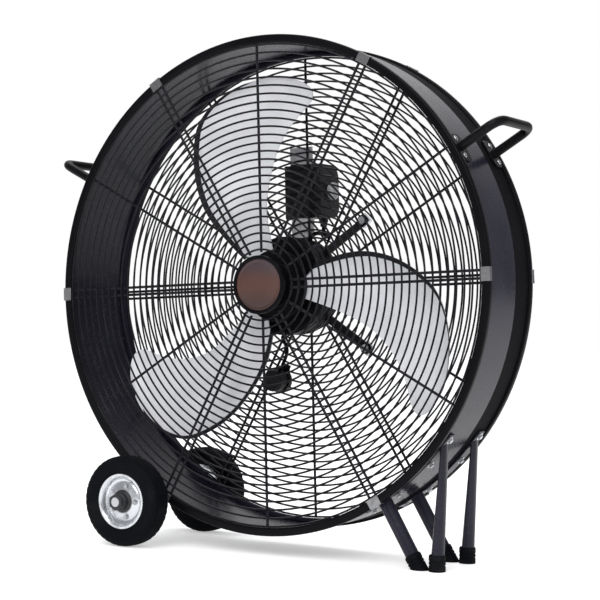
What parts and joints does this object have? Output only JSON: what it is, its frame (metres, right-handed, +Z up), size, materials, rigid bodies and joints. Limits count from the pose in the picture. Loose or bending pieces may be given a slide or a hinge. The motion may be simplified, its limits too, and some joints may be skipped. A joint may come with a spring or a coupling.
{
  "type": "drum fan",
  "caption": "Floor-standing drum fan on two wheels and V-shaped legs, with wire guards, swept blades, a tail motor, a rear control box and tube handles.",
  "frame": {"origin": "on the floor, at the middle of the fan's overall width and depth", "axes": "+Z up, +Y from the front guard to the rear guard along the fan's axis, +X to the side of the legs"},
  "size_m": [0.8602, 0.2976, 0.8516],
  "materials": {
    "black_paint": "satin",
    "slate_paint": "satin",
    "rim_paint": "satin",
    "guard_wire": "satin",
    "blade_metal": "satin",
    "badge_face": "satin",
    "bright_steel": "brushed",
    "winding_wire": "satin",
    "box_plastic": "matte",
    "knob_plastic": "satin",
    "lead_rubber": "matte",
    "foot_rubber": "matte",
    "tyre_rubber": "matte",
    "wheel_metal": "satin"
  },
  "bodies": {
    "stand": {"drum_shell": "slate_paint", "front_rim": "rim_paint", "rear_rim": "rim_paint", "front_guard": "guard_wire", "rear_guard": "guard_wire", "badge_plate": "black_paint", "badge_disc": "badge_face", "motor_front_bell": "black_paint", "motor_housing": "black_paint", "motor_rear_bell": "black_paint", "stator_core": "bright_steel", "front_winding": "winding_wire", "rear_winding": "winding_wire", "front_bearing": "bright_steel", "rear_bearing": "bright_steel", "motor_mount": "black_paint", "mount_bolt_1": "bright_steel", "mount_bolt_2": "bright_steel", "mount_bolt_3": "bright_steel", "mount_bolt_4": "bright_steel", "box_bracket": "bright_steel", "control_box_base": "box_plastic", "control_box_cover": "box_plastic", "rotary_switch": "box_plastic", "dial_plate": "box_plastic", "lead_gland": "box_plastic", "cord_gland": "box_plastic", "motor_lead": "lead_rubber", "capacitor": "box_plastic", "capacitor_clip": "black_paint", "capacitor_lead": "lead_rubber", "right_handle": "black_paint", "left_handle": "black_paint", "axle": "bright_steel", "front_axle_bracket": "black_paint", "rear_axle_bracket": "black_paint", "front_axle_spacer": "bright_steel", "rear_axle_spacer": "bright_steel", "front_axle_nut": "bright_steel", "rear_axle_nut": "bright_steel", "front_leg_frame": "slate_paint", "rear_leg_frame": "slate_paint", "front_upright_foot": "foot_rubber", "rear_upright_foot": "foot_rubber", "front_slanted_foot": "foot_rubber", "rear_slanted_foot": "foot_rubber"},
    "fan": {"fan_hub": "black_paint", "hub_nut": "bright_steel", "blade_1": "blade_metal", "blade_2": "blade_metal", "blade_3": "blade_metal", "motor_shaft": "bright_steel", "rotor": "bright_steel"},
    "front_wheel": {"front_wheel_rim": "wheel_metal", "front_tyre": "tyre_rubber"},
    "rear_wheel": {"rear_wheel_rim": "wheel_metal", "rear_tyre": "tyre_rubber"},
    "knob": {"speed_knob": "knob_plastic", "switch_spindle": "bright_steel"}
  },
  "joints": [
    {"name": "fan_spin", "type": "hinge", "parent": "stand", "child": "fan", "pos_m": [0.01014, 0, 0.442], "axis": [0, 1, 0], "continuous": true},
    {"name": "front_wheel_spin", "type": "hinge", "parent": "stand", "child": "front_wheel", "pos_m": [-0.22991, -0.117, 0.076], "axis": [0, 1, 0], "continuous": true},
    {"name": "rear_wheel_spin", "type": "hinge", "parent": "stand", "child": "rear_wheel", "pos_m": [-0.22991, 0.117, 0.076], "axis": [0, 1, 0], "continuous": true},
    {"name": "speed_knob", "type": "hinge", "parent": "stand", "child": "knob", "pos_m": [0.02298, 0.1184, 0.60872], "axis": [0.999, 0, 0.0436], "range_deg": [0, 120]}
  ]
}
